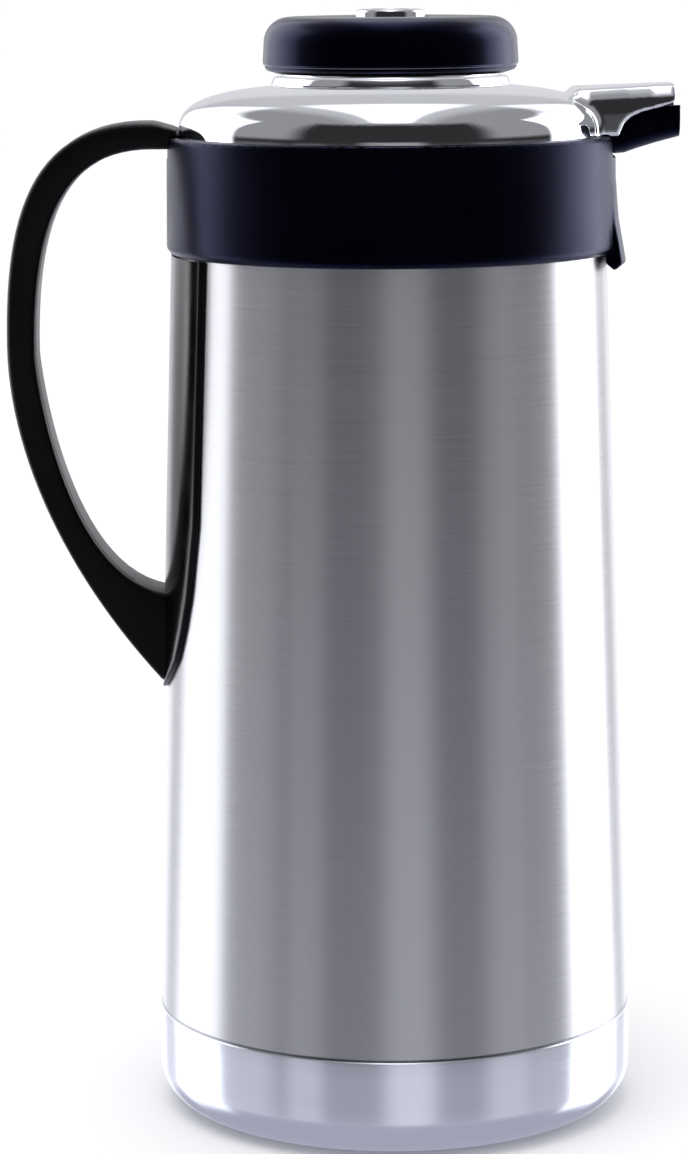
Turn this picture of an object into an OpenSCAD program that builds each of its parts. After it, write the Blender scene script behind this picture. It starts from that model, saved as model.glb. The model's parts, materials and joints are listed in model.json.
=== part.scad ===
// Vacuum coffee carafe: double-walled steel bottle, chrome pouring head, black collar and handle,
// and a screw-in stopper with a push-button valve. The origin is on the bottle's axis in the plane
// it stands on, +Z is up and +X points the way it pours. All sizes are in millimetres.

/* [Bottle] */
// Radius of the polished cup that forms the base
base_r = 62; // [61.8:0.1:62.4]
// Height of the seam between the base cup and the brushed shell, above the datum under the foot
seam_z = 30; // [27:0.5:31]
// Radius of the brushed shell just above the seam
shell_low_r = 61.6; // [61.3:0.1:61.7]
// Radius of the brushed shell where its shoulder starts
shell_top_r = 55; // [54.8:0.1:55]
// Sheet thickness of the shell and the inner bottle
sheet = 0.8; // [0.6:0.1:0.9]
// Vacuum gap between the shell and the inner bottle
vacuum_gap = 4; // [3.5:0.1:4.5]
// Corner radius at the foot of the base cup
foot_corner_r = 10; // [8:0.2:10]

/* [Pouring head] */
// Height of the collar's bottom edge
collar_bottom_z = 227.2; // [226.5:0.1:228]
// Radius of the collar at its top edge
collar_r = 57.3; // [57:0.1:57.6]
// Radius of the chrome dome
dome_r = 54.3; // [54:0.1:54.4]
// Rise of the dome above the collar's seat
dome_rise = 13.9; // [13.7:0.1:13.9]
// Squareness of the dome's curve, where 2 is a plain ellipse
dome_power = 3.4; // [3.2:0.1:3.4]
// How far the spout reaches from the axis
spout_reach = 73; // [72:0.2:74]

/* [Handle] */
// Width of the grip across the hand
grip_w = 19; // [17:0.5:21]
// Half angle of the backing strip at its widest
strip_half_w = 31; // [29:0.5:32]

/* [Stopper] */
// Radius of the knob at its lower edge
knob_r = 32.7; // [32.5:0.1:33]
// Height of the knob's flat top
knob_top_z = 286.8; // [286.5:0.1:288]
// Radius of the push button
button_r = 8.8; // [8:0.1:8.8]
// Radius of the stopper's plug
plug_r = 21.5; // [21.3:0.1:21.5]
// Rise of the stopper in one turn
thread_pitch = 4; // [4:0.1:4.2]

/* [Hidden] */
$fn = 96;
eps = 0.01;

// All heights are measured from a datum this far below the plane the carafe stands on
foot_z = 3.3;

collar_top_z = 256.8;
dome_foot_z = 256;
shoulder_z = 232;
shell_neck_r = 29.6;
neck_top_z = 252;
cup_t = 1;
foot_pad_t = 0.8;
joggle_r = base_r - cup_t - 0.1;
shell_end_z = 14.5;
shell_floor_z = 16.7;
cup_floor_z = foot_z + foot_pad_t;

liner_low_r = shell_low_r - sheet - vacuum_gap;
liner_top_r = shell_top_r - sheet - vacuum_gap;
liner_neck_r = 28.1;
liner_bottom_z = 20.5;
liner_corner_r = 12;
mouth_r = liner_neck_r - sheet;

insert_r = 26.6;
insert_bore_r = 24.6;
thread_crest_r = 23.2;
web_z = 249.5;
web_t = 2;
screw_ring_r = 42;
pour_floor_z = 255.6;
hood_foot_z = collar_top_z + 0.05;
tongue_z = 251.6;
tongue_screw_x = -49.8;

strip_t = 1.3;
strip_gap = 0.1;
bracket_w = 10;
bracket_z = [125, 136];

black = [0.05, 0.05, 0.06];
chrome = [0.82, 0.83, 0.86];
brushed = [0.66, 0.66, 0.68];
silicone = [0.75, 0.75, 0.72];

// ---- curves -------------------------------------------------------------------------------

function ellipse_arc(centre, rx, rz, from, to, steps) =
    [for (i = [0:steps]) let (a = from + (to - from) * i / steps)
        [centre[0] + rx * cos(a), centre[1] + rz * sin(a)]];

function bezier(p, t) =
    pow(1 - t, 3) * p[0] + 3 * pow(1 - t, 2) * t * p[1] + 3 * (1 - t) * t * t * p[2] + pow(t, 3) * p[3];

function bezier_slope(p, t) =
    pow(1 - t, 2) * (p[1] - p[0]) + 2 * (1 - t) * t * (p[2] - p[1]) + t * t * (p[3] - p[2]);

// Points along a curve, moved sideways by shift (positive is to the left of the direction of travel)
function bezier_points(p, steps, shift = 0, from = 0, to = 1) =
    [for (i = [0:steps])
        let (t = from + (to - from) * i / steps, d = bezier_slope(p, t), n = [-d[1], d[0]] / norm(d))
        bezier(p, t) + shift * n];

function reversed(list) = [for (i = [len(list) - 1:-1:0]) list[i]];

// Radius of the brushed shell at a height
function shell_r(z) = shell_low_r + (shell_top_r - shell_low_r) * (z - seam_z) / (shoulder_z - seam_z);

// Radius of the inner bottle at a height
function liner_r(z) = liner_low_r + (liner_top_r - liner_low_r) * (z - seam_z) / (shoulder_z - seam_z);

// ---- shared shapes ------------------------------------------------------------------------

module tube(r_out, r_in, z0, z1) {
    translate([0, 0, z0])
        difference() {
            cylinder(r = r_out, h = z1 - z0);
            translate([0, 0, -1])
                cylinder(r = r_in, h = z1 - z0 + 2);
        }
}

module disc(r, z0, z1) {
    translate([0, 0, z0])
        cylinder(r = r, h = z1 - z0);
}

// A band that follows the shell's cone between two distances from its surface
module shell_band(inner, outer, z0, z1) {
    rotate_extrude()
        polygon([
            [shell_r(z0) + inner, z0], [shell_r(z0) + outer, z0],
            [shell_r(z1) + outer, z1], [shell_r(z1) + inner, z1]
        ]);
}

// A side outline in X and Z, given a width across Y
module side_slab(points, width) {
    translate([0, width / 2, 0])
        rotate([90, 0, 0])
            linear_extrude(width)
                polygon(points);
}

module pan_screw(head_r, head_h, shank_r, length, $fn = 32) {
    translate([0, 0, -length])
        cylinder(r = shank_r, h = length);
    difference() {
        cylinder(r = head_r, h = head_h);
        for (a = [0, 90])
            rotate(a)
                translate([-head_r * 0.6, -0.3, head_h * 0.5])
                    cube([head_r * 1.2, 0.6, head_h]);
    }
}

// A ridge of a screw thread, drawn as a plain ring
module thread_ring(root_r, crest_r, z) {
    rotate_extrude()
        polygon([[root_r, z - 0.9], [crest_r, z - 0.4], [crest_r, z + 0.4], [root_r, z + 0.9]]);
}

// ---- vacuum bottle ------------------------------------------------------------------------

function shell_wall(t) = concat(
    [
        [joggle_r - t, shell_end_z], [joggle_r - t, seam_z + t],
        [shell_low_r - t, seam_z + t], [shell_top_r - t, shoulder_z]
    ],
    ellipse_arc([shell_neck_r - t, shoulder_z], shell_top_r - shell_neck_r, 14 - t, 6, 90, 12),
    [[shell_neck_r - t, neck_top_z]]
);

module outer_shell() {
    color(brushed)
        rotate_extrude()
            polygon(concat(shell_wall(0), reversed(shell_wall(sheet))));
}

module shell_bottom() {
    rim_r = joggle_r - sheet - 0.03;
    top_z = shell_floor_z + sheet;
    color(brushed)
        difference() {
            rotate_extrude()
                polygon([
                    [0, shell_floor_z], [rim_r - sheet, shell_floor_z], [rim_r - sheet, shell_end_z],
                    [rim_r, shell_end_z], [rim_r, top_z], [0, top_z]
                ]);
            disc(2, shell_floor_z - 1, top_z + 1);
        }
}

module vacuum_plug() {
    color("dimgray") {
        disc(5, shell_floor_z - 1.6, shell_floor_z);
        disc(1.9, shell_floor_z - eps, shell_floor_z + 0.7);
    }
}

module getter() {
    color("silver")
        translate([18, 0, 0])
            tube(7, 4, shell_floor_z + sheet, shell_floor_z + sheet + 1.6);
}

function liner_wall(t) = concat(
    [[0, liner_bottom_z + t]],
    ellipse_arc([liner_low_r - liner_corner_r, liner_bottom_z + liner_corner_r],
        liner_corner_r - t, liner_corner_r - t, -90, 0, 10),
    [[liner_top_r - t, 222]],
    ellipse_arc([liner_neck_r - t, 222], liner_top_r - liner_neck_r, 18 - t, 6, 90, 12)
);

module inner_liner() {
    rim_z = neck_top_z + sheet;
    color(brushed)
        rotate_extrude()
            polygon(concat(
                liner_wall(0),
                [[liner_neck_r, neck_top_z], [shell_neck_r, neck_top_z], [shell_neck_r, rim_z], [mouth_r, rim_z]],
                reversed(liner_wall(sheet))
            ));
}

module liner_foil() {
    z0 = 34;
    z1 = 218;
    color("sandybrown")
        rotate_extrude()
            polygon([
                [liner_r(z0) + 0.3, z0], [liner_r(z0) + 0.6, z0],
                [liner_r(z1) + 0.6, z1], [liner_r(z1) + 0.3, z1]
            ]);
}

// ---- base ---------------------------------------------------------------------------------

function cup_wall(t) = concat(
    [[0, cup_floor_z + t]],
    ellipse_arc([base_r - foot_corner_r, cup_floor_z + foot_corner_r],
        foot_corner_r - t, foot_corner_r - t, -90, 0, 16),
    [[base_r - t, seam_z - 0.3]]
);

module base_cup() {
    color(chrome)
        rotate_extrude()
            polygon(concat(cup_wall(0), reversed(cup_wall(cup_t))));
}

module base_spacer() {
    floor_z = cup_floor_z + cup_t;
    color("gainsboro") {
        tube(44, 42, floor_z, shell_floor_z);
        tube(44, 30, floor_z, floor_z + 2);
    }
}

module foot_pad() {
    color("darkslategray")
        disc(50, foot_z, cup_floor_z);
}

// ---- neck and pouring head ----------------------------------------------------------------

module mouth_gasket() {
    color(silicone)
        tube(29.6, 26.9, neck_top_z + sheet, 254);
}

module neck_insert() {
    flange_z = 254;
    top_z = 273.4;
    color(black)
        difference() {
            union() {
                tube(insert_r, insert_bore_r, 236, top_z);
                tube(insert_r, thread_crest_r, 236, 239);
                for (i = [0:2])
                    thread_ring(insert_bore_r + eps, thread_crest_r, 244 + i * thread_pitch);
                difference() {
                    tube(46, insert_r - eps, flange_z, flange_z + 2);
                    translate([20, -14.5, flange_z - 1])
                        cube([40, 29, 4]);
                }
                // Flat pad that the spout seals against
                difference() {
                    translate([20, -11.5, flange_z])
                        cube([7.1, 23, 12.4]);
                    disc(insert_bore_r, flange_z - 1, flange_z + 14);
                }
            }
            // Window that lets the coffee into the spout
            translate([20, -9, 256])
                cube([10, 18, 8.5]);
            for (a = [60, 180, 300])
                rotate(a)
                    translate([screw_ring_r, 0, flange_z - 1])
                        cylinder(r = 1.7, h = 4, $fn = 32);
        }
}

module insert_screws() {
    color("silver")
        for (a = [60, 180, 300])
            rotate(a)
                translate([screw_ring_r, 0, 256])
                    pan_screw(2.8, 1.6, 1.5, 7);
}

function collar_section() = [
    [shell_r(collar_bottom_z) + 0.3, collar_bottom_z], [collar_r - 1.1, collar_bottom_z],
    [collar_r + 0.3, collar_bottom_z + 1.6], [collar_r, collar_top_z - 0.4], [collar_r - 0.4, collar_top_z],
    [dome_r + 0.4, collar_top_z], [dome_r + 0.4, web_z], [31, web_z], [31, web_z - web_t],
    [shell_top_r + 0.4, web_z - web_t], [shell_top_r + 0.4, shoulder_z]
];

module collar() {
    color(black)
        difference() {
            union() {
                rotate_extrude()
                    polygon(collar_section());
                // Keel below the spout
                rotate([0, 0, -15])
                    rotate_extrude(angle = 30)
                        polygon([
                            [collar_r - 1, 246], [collar_r, 244.5], [collar_r + 1, 235.5], [collar_r + 2.9, 224.6], [collar_r + 0.7, 222.9],
                            [shell_r(224) + 0.5, 224.8], [shell_r(230) + 0.8, 230]
                        ]);
                // Bosses for the insert's screws
                for (a = [60, 180, 300])
                    rotate(a)
                        translate([screw_ring_r, 0, web_z - eps])
                            cylinder(r = 4, h = 254 - web_z + eps, $fn = 48);
                // Seat for the handle's tongue
                translate([-54.9, -7, web_z - eps])
                    cube([8.6, 14, 3]);
            }
            for (a = [60, 180, 300])
                rotate(a)
                    translate([screw_ring_r, 0, 248.5])
                        cylinder(r = 1.6, h = 7, $fn = 32);
            for (y = [-4, 4])
                translate([tongue_screw_x, y, 240])
                    cylinder(r = 1.4, h = 20, $fn = 32);
            // Gap for the spout trough
            translate([50, -12.8, 251.4])
                cube([20, 25.6, 10]);
            // Gap for the handle's tongue
            translate([-65, -7.2, tongue_z])
                cube([18.8, 14.4, 10]);
        }
}

// The dome's curve, seen from the side
function dome_curve(t) = [for (i = [0:16])
    let (a = 49 * i / 16)
    [(dome_r - t) * pow(cos(a), 2 / dome_power), dome_foot_z + (dome_rise - t) * pow(sin(a), 2 / dome_power)]];

function dome_crown(t) = let (
    x = 29 / (dome_r - t),
    z = dome_foot_z + (dome_rise - t) * pow(1 - pow(x, dome_power), 1 / dome_power)
) [29, z];

function dome_wall(t) = concat([[dome_r - t, web_z + 0.1]], dome_curve(t), [dome_crown(t)]);

// The hood's side outline, drawn in by t at the top
function hood_side(t) = [
    [44.8, hood_foot_z], [44.8, 266 - t], [46.2 + t * 0.3, 268.6 - t], [spout_reach - 1.5, 269.7 - t],
    [spout_reach - 0.8, 268.6], [spout_reach - 0.6, 266], [spout_reach - 1.6, 264.9],
    [67.6, 263.7], [63, 262.7], [60.4, 261.4], [58.6, 259.9], [57.5, 257.1], [57.3, hood_foot_z]
];

// The hood's plan, drawn in by t at its sides
module hood_plan(t) {
    linear_extrude(40)
        polygon([
            [40, -17.4 + t], [52, -16.8 + t], [60, -14 + t], [66, -12.6 + t], [spout_reach + 5, -11.6 + t],
            [spout_reach + 5, 11.6 - t], [66, 12.6 - t], [60, 14 - t], [52, 16.8 - t], [40, 17.4 - t]
        ]);
}

module hood_form(t, length) {
    intersection() {
        side_slab(hood_side(t), 40);
        translate([0, 0, 240])
            hood_plan(t);
        // Rounded top edges
        translate([40, 0, 0])
            rotate([90, 0, 90])
                linear_extrude(length)
                    polygon(concat(
                        [[-20, 240], [20, 240], [20, 262]],
                        ellipse_arc([9, 262], 8.6 - t, 8 - t, 0, 90, 8),
                        ellipse_arc([-9, 262], 8.6 - t, 8 - t, 90, 180, 8),
                        [[-20, 262]]
                    ));
    }
}

module dome_cover() {
    color(chrome)
        difference() {
            union() {
                rotate_extrude()
                    polygon(concat(dome_wall(0), reversed(dome_wall(1.2))));
                difference() {
                    hood_form(0, 40);
                    disc(dome_r - 1.2, 240, 262);
                }
            }
            // Inside of the hood, which also opens the dome's wall under it
            intersection() {
                hood_form(1.3, 40);
                translate([44.9, -30, 240])
                    cube([60, 60, 40]);
            }
            translate([40, -13.2, 240])
                cube([60, 26.4, 22]);
            translate([40, -13.2, 240])
                cube([5.4, 26.4, 26]);
            // Gap for the handle's tongue
            translate([-60, -7.4, 240])
                cube([12, 14.8, 15.1]);
        }
}

module neck_ring() {
    color(chrome)
        rotate_extrude()
            polygon([
                [26.9, 269.5], [30.4, 269.5], [30.4, 270.1], [29.7, 271.8], [27.7, 272.1], [27.7, 273.7],
                [27.4, 274], [26.9, 274]
            ]);
}

module spout_seal() {
    color(silicone)
        difference() {
            translate([27.1, -11, 254.8])
                cube([1, 22, 9.8]);
            translate([20, -9, 256])
                cube([10, 18, 7.4]);
        }
}

module spout_trough() {
    wall = 1.6;
    color(black)
        difference() {
            intersection() {
                side_slab([
                    [28.1, 254.1], [31, 254.1], [57, 252.2], [59.5, 252.4], [61.1, 253.1], [66.2, 254.6], [spout_reach - 1, 256.1],
                    [spout_reach, 256.3], [spout_reach, 264.4], [28.1, 264.4]
                ], 40);
                translate([0, 0, 240])
                    linear_extrude(40)
                        polygon([
                            [28, -11.5], [57, -12.3], [66, -11.1], [spout_reach, -10.2], [spout_reach, 10.2],
                            [66, 11.1], [57, 12.3], [28, 11.5]
                        ]);
            }
            intersection() {
                side_slab([
                    [20, pour_floor_z], [57, pour_floor_z], [66, pour_floor_z + 1],
                    [spout_reach + 1, pour_floor_z + 2.4], [spout_reach + 1, 270], [20, 270]
                ], 40);
                translate([0, 0, 240])
                    linear_extrude(40)
                        polygon([
                            [20, -11.5 + wall], [57, -12.3 + wall], [66, -11.1 + wall],
                            [spout_reach + 1, -10.1 + wall], [spout_reach + 1, 10.1 - wall],
                            [66, 11.1 - wall], [57, 12.3 - wall], [20, 11.5 - wall]
                        ]);
            }
        }
}

// ---- handle -------------------------------------------------------------------------------

grip_outer_top = [[-61, 260.6], [-93, 261.6], [-98.6, 234.7], [-98.6, 204]];
grip_outer_low = [[-98.6, 204], [-98.6, 175.2], [-83.8, 143.7], [-60.3, 117.2]];
grip_inner_top = [[-61, 253.9], [-84, 253.9], [-91.4, 234.6], [-91.4, 202]];
grip_inner_low = [[-91.4, 202], [-91.4, 197.7], [-85.6, 148], [-61.8, 140.4]];
cover_t = 1.8;

module handle_grip() {
    outline = concat(
        bezier_points(grip_outer_top, 14),
        bezier_points(grip_outer_low, 14, 0, 1 / 14),
        [[-59.7, 115.8], [-57, 117], [-57, 140]],
        reversed(bezier_points(grip_inner_low, 14, 0)),
        reversed(bezier_points(grip_inner_top, 14, 0, 0, 13 / 14)),
        [[-57.6, 253.9], [-57.5, collar_top_z], [-54.6, collar_top_z], [-54.5, 258.9]]
    );
    color(black)
        difference() {
            union() {
                side_slab(outline, grip_w);
                // Tongue that enters the collar
                translate([-60, -7, tongue_z + 0.05])
                    cube([13.5, 14, 3.2]);
            }
            // Backing strip, collar and bracket fill these
            rotate_extrude()
                polygon([
                    [0, 100], [shell_r(100) + strip_t + strip_gap + 0.05, 100],
                    [shell_r(225) + strip_t + strip_gap + 0.05, 225], [0, 225]
                ]);
            difference() {
                tube(collar_r + 0.05, dome_r, 250, collar_top_z);
                translate([-60, -7, 240])
                    cube([13.5, 14, 20]);
            }
            disc(dome_r + 0.1, 255, 262);
            translate([-65.6, -bracket_w / 2 - 0.1, bracket_z[0] - 0.1])
                cube([10, bracket_w + 0.2, bracket_z[1] - bracket_z[0] + 0.2]);
            for (y = [-4, 4])
                translate([tongue_screw_x, y, 245])
                    cylinder(r = 1.7, h = 14, $fn = 32);
            // Groove for the cover along the palm side
            cover_band(grip_w - 5 + 0.1, 0.5, 0.05);
        }
}

// The cover's band along the palm side of the grip, from proud of that side to a depth under it
module cover_band(width, proud, slack) {
    near_top = bezier_points(grip_inner_top, 14, proud, 0.12);
    near_low = bezier_points(grip_inner_low, 14, proud, 1 / 14, 0.93);
    far_top = bezier_points(grip_inner_top, 14, -cover_t - slack, 0.12);
    far_low = bezier_points(grip_inner_low, 14, -cover_t - slack, 1 / 14, 0.93);
    side_slab(concat(near_top, near_low, reversed(far_low), reversed(far_top)), width);
}

module handle_cover() {
    color(black)
        cover_band(grip_w - 5, 0, 0);
}

module handle_strip() {
    w = (shell_r(190) + strip_t) * sin(strip_half_w);
    outline_top = 226.9;
    color(black)
        difference() {
            intersection() {
                shell_band(strip_gap, strip_gap + strip_t, 105, outline_top);
                rotate([90, 0, -90])
                    linear_extrude(80)
                        polygon([
                            [-w, outline_top + 1], [-w, 160], [2.4 - w, 142], [-24, 131], [-20, 123.5], [-13, 118.3],
                            [-7.5, 115.8], [0, 113.8], [7.5, 115.8], [13, 118.3], [20, 123.5], [24, 131],
                            [w - 2.4, 142], [w, 160], [w, outline_top + 1]
                        ]);
            }
            translate([-70, -bracket_w / 2 - 0.2, bracket_z[0] - 0.2])
                cube([20, bracket_w + 0.4, bracket_z[1] - bracket_z[0] + 0.4]);
        }
}

module lower_bracket() {
    color("silver")
        difference() {
            translate([-65.5, -bracket_w / 2, bracket_z[0]])
                cube([9, bracket_w, bracket_z[1] - bracket_z[0]]);
            shell_band(-20, 0.02, 100, 160);
        }
}

module handle_screws() {
    color("silver")
        for (y = [-4, 4])
            translate([tongue_screw_x, y, tongue_z + 3.25])
                pan_screw(2.6, 1.5, 1.35, 7);
}

// ---- stopper ------------------------------------------------------------------------------

module upper_gasket() {
    color(silicone)
        tube(24.3, 21.3, 271.6, 273.2);
}

module lower_gasket() {
    color(silicone)
        tube(22.9, 20.5, 237.5, 239.9);
}

module stopper_body() {
    collar_bore_r = 20.9;
    color(black)
        difference() {
            union() {
                rotate_extrude()
                    polygon([
                        [13, 234], [plug_r - 0.8, 234], [plug_r, 234.8], [plug_r, 237.2], [20.2, 237.2],
                        [20.2, 240.2], [plug_r, 240.2], [plug_r, 261.5], [22.9, 261.5], [22.9, 263],
                        [collar_bore_r, 263], [collar_bore_r, 274.4], [30.2, 274.4], [30.2, 277.4],
                        [19, 277.4], [19, 265], [2.58, 265], [2.58, 255], [4.6, 255], [4.6, 262.6],
                        [19.4, 262.6], [19.4, 242.5], [17.4, 241], [17.4, 236], [13, 236]
                    ]);
                for (i = [0:1])
                    thread_ring(plug_r - eps, 22.9, 246 + i * thread_pitch);
            }
            // Side windows for the coffee
            for (a = [45, 135])
                rotate(a)
                    translate([-40, -9, 254.4])
                        cube([80, 18, 6.6]);
            // Seat of the stem's wiper
            disc(4.5, 263.4, 265.1);
            for (a = [0:120:240])
                rotate(a)
                    translate([24.6, 0, 270]) {
                        cylinder(r = 1.4, h = 10, $fn = 32);
                        cylinder(r = 2.5, h = 5.8, $fn = 32);
                    }
        }
    // The guide is cut through by the windows, so it is put back
    color(black)
        tube(4.6, 2.58, 255, 263.4);
}

knob_draft = 0.4;

function knob_wall(t) = concat(
    [[knob_r - t, 274.6], [knob_r - knob_draft - t, knob_top_z - 6.5]],
    ellipse_arc([knob_r - knob_draft - 6.5, knob_top_z - 6.5], 6.5 - t, 6.5 - t, 8, 90, 8)
);

module knob_cap() {
    bore_r = button_r + 0.3;
    color(black) {
        rotate_extrude()
            polygon(concat(
                knob_wall(0),
                [[bore_r + 0.6, knob_top_z], [bore_r, knob_top_z - 0.6], [bore_r, knob_top_z - 2]],
                reversed(knob_wall(2))
            ));
        for (a = [0:120:240])
            rotate(a)
                translate([24.6, 0, 0])
                    tube_small(2.8, 1.1, 277.5, knob_top_z - 1.9);
    }
}

module tube_small(r_out, r_in, z0, z1, $fn = 32) {
    tube(r_out, r_in, z0, z1);
}

module knob_base_ring() {
    color(black)
        rotate_extrude()
            polygon([
                [28.2, 272.6], [28.8, 272.6], [31.6, 273.5], [knob_r - 0.2, 274.55], [30.3, 274.55],
                [30.3, 274.35], [28.2, 274.35]
            ]);
}

module knob_screws() {
    color("silver")
        for (a = [0:120:240])
            rotate(a)
                translate([24.6, 0, 275.8])
                    mirror([0, 0, 1])
                        pan_screw(2.2, 1.2, 1.05, 7);
}

module plug_insulation() {
    color("ivory")
        tube(18.8, 8, 265.2, 275);
}

module stem_seal() {
    color(silicone)
        tube(4.4, 2.6, 263.5, 264.9);
}

module push_button() {
    top_z = knob_top_z + 1.9;
    flange_z = knob_top_z - 2.3;
    color(chrome)
        difference() {
            rotate_extrude()
                polygon([
                    [2.52, top_z - 3], [2.52, top_z - 9], [4.6, top_z - 9], [4.6, top_z - 4], [7.2, top_z - 4],
                    [7.2, flange_z - 1.9], [button_r + 1.5, flange_z - 1.9], [button_r + 1.5, flange_z],
                    [button_r, flange_z], [button_r, top_z - 0.8], [button_r - 0.3, top_z - 0.2],
                    [button_r - 0.9, top_z], [0, top_z], [0, top_z - 3]
                ]);
            disc(button_r - 2.2, top_z - 0.8, top_z + 1);
        }
}

module button_inset() {
    top_z = knob_top_z + 1.9;
    color(black)
        rotate_extrude()
            polygon([
                [0, top_z - 0.8], [button_r - 2.25, top_z - 0.8], [button_r - 2.25, top_z - 0.5],
                [button_r - 2.6, top_z - 0.2], [0, top_z - 0.1]
            ]);
}

module valve_stem() {
    color("silver")
        disc(2.5, 231, knob_top_z - 1.2);
}

module stem_clip() {
    color("silver")
        difference() {
            tube(4.2, 2.5, 278.5, 279.3);
            translate([0, -1.6, 278])
                cube([6, 3.2, 2]);
        }
}

module valve_disc() {
    color(black)
        rotate_extrude()
            polygon([
                [0, 229], [5, 229], [15.4, 230.4], [16.5, 231.2], [16.5, 232.4], [12.4, 232.4], [12.4, 233.6],
                [2.5, 233.6], [2.5, 231], [0, 231]
            ]);
}

module valve_seal() {
    color(silicone)
        tube(16.5, 12.4, 232.4, 233.7);
}

// A round wire wound into a coil that stands on the floor of the stopper's cup
module button_spring() {
    wire_r = 0.5;
    coil_r = 6.1;
    turns = 6;
    z0 = 265.6;
    z1 = 281.9;
    sides = 8;
    steps = turns * 16;
    points = [for (i = [0:steps], k = [0:sides - 1])
        let (a = 360 * turns * i / steps, b = 360 * k / sides, r = coil_r + wire_r * cos(b))
        [r * cos(a), r * sin(a), z0 + (z1 - z0) * i / steps + wire_r * sin(b)]];
    walls = [for (i = [0:steps - 1], k = [0:sides - 1])
        let (n = (k + 1) % sides)
        [i * sides + k, i * sides + n, (i + 1) * sides + n, (i + 1) * sides + k]];
    first_end = [for (k = [sides - 1:-1:0]) k];
    last_end = [for (k = [0:sides - 1]) steps * sides + k];
    color("silver")
        polyhedron(points, concat(walls, [first_end, last_end]), convexity = 10);
}

// ---- assembly -----------------------------------------------------------------------------

// Brings the datum of the heights down to the plane the carafe stands on
module placed() {
    translate([0, 0, -foot_z])
        children();
}

placed() outer_shell();
placed() shell_bottom();
placed() vacuum_plug();
placed() getter();
placed() inner_liner();
placed() liner_foil();
placed() base_cup();
placed() base_spacer();
placed() foot_pad();
placed() mouth_gasket();
placed() neck_insert();
placed() insert_screws();
placed() collar();
placed() dome_cover();
placed() neck_ring();
placed() spout_seal();
placed() spout_trough();
placed() handle_grip();
placed() handle_cover();
placed() handle_strip();
placed() lower_bracket();
placed() handle_screws();
placed() upper_gasket();
placed() lower_gasket();
placed() stopper_body();
placed() knob_cap();
placed() knob_base_ring();
placed() knob_screws();
placed() plug_insulation();
placed() stem_seal();
placed() push_button();
placed() button_inset();
placed() valve_stem();
placed() stem_clip();
placed() valve_disc();
placed() valve_seal();
placed() button_spring();
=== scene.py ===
import json
import math

import bmesh
import bpy
import numpy as np
from mathutils import Matrix, Vector

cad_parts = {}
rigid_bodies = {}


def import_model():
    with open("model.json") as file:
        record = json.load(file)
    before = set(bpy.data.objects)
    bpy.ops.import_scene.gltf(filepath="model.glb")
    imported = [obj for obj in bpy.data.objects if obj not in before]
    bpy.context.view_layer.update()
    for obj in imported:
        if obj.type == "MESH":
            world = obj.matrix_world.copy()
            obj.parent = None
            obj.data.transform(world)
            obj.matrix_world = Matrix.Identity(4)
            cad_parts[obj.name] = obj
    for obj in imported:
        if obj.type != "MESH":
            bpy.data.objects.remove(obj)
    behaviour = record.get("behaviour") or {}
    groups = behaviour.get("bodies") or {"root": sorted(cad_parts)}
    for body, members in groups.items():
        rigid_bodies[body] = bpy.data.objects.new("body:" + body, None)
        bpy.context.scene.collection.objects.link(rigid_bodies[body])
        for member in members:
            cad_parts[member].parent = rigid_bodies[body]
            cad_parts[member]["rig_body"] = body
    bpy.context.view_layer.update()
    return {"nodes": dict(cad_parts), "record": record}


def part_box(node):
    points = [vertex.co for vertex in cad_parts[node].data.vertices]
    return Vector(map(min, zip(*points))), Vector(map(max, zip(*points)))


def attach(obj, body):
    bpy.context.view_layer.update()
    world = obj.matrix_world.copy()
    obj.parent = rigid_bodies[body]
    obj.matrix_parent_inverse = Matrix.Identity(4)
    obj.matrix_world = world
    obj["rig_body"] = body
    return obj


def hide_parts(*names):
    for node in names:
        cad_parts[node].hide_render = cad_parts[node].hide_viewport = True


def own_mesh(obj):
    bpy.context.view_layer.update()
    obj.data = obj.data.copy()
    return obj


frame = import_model()
MM = 0.001


# ---- sizes, in millimetres ------------------------------------------------------------------

# Heights are counted from a datum under the foot, in which the button's top is at this height
BUTTON_DATUM_Z = 288.7
DATUM = np.array((0, 0, BUTTON_DATUM_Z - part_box("push_button")[1][2] / MM))


def low(node):
    """Lowest corner of a CAD node, its height counted from the datum."""
    return np.array(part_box(node)[0]) / MM + DATUM


def high(node):
    """Highest corner of a CAD node, its height counted from the datum."""
    return np.array(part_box(node)[1]) / MM + DATUM


BASE_R = high("base_cup")[1]
SEAM_Z = high("base_cup")[2] + 0.3
FOOT_Z = low("base_cup")[2]
SHELL_LOW_R = high("outer_shell")[1] + 0.02
SHELL_TOP_R = 55.0
SHELL_NECK_R = 29.6
SHOULDER_Z = 232.0
SHEET = 0.8
SHELL_END_Z = 14.5
COLLAR_LOW_Z = 227.2
COLLAR_TOP_Z = high("collar")[2]
COLLAR_R = high("collar")[1] - 0.3
KEEL_TIP_Z = low("collar")[2]
WEB_Z = 249.5
DOME_R = high("dome_cover")[1]
DOME_FOOT_Z = 256.0
DOME_RISE = 13.9
DOME_POWER = 3.4
SPOUT_X = high("spout_trough")[0]
NECK_TOP_Z = high("neck_ring")[2]
NECK_FLANGE_R = high("neck_ring")[0]
KNOB_R = high("knob_cap")[0]
KNOB_TOP_Z = high("knob_cap")[2]
BUTTON_TOP_Z = high("push_button")[2]
BUTTON_R = 8.8
GRIP_HALF = high("handle_grip")[1]
COVER_HALF = high("handle_cover")[1]
STRIP_T = 1.4
STRIP_HALF = math.radians(31)


def shell_r(z):
    """Radius of the brushed shell at a height."""
    return SHELL_LOW_R + (SHELL_TOP_R - SHELL_LOW_R) * (z - SEAM_Z) / (SHOULDER_Z - SEAM_Z)


# ---- mesh tools -----------------------------------------------------------------------------

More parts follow.
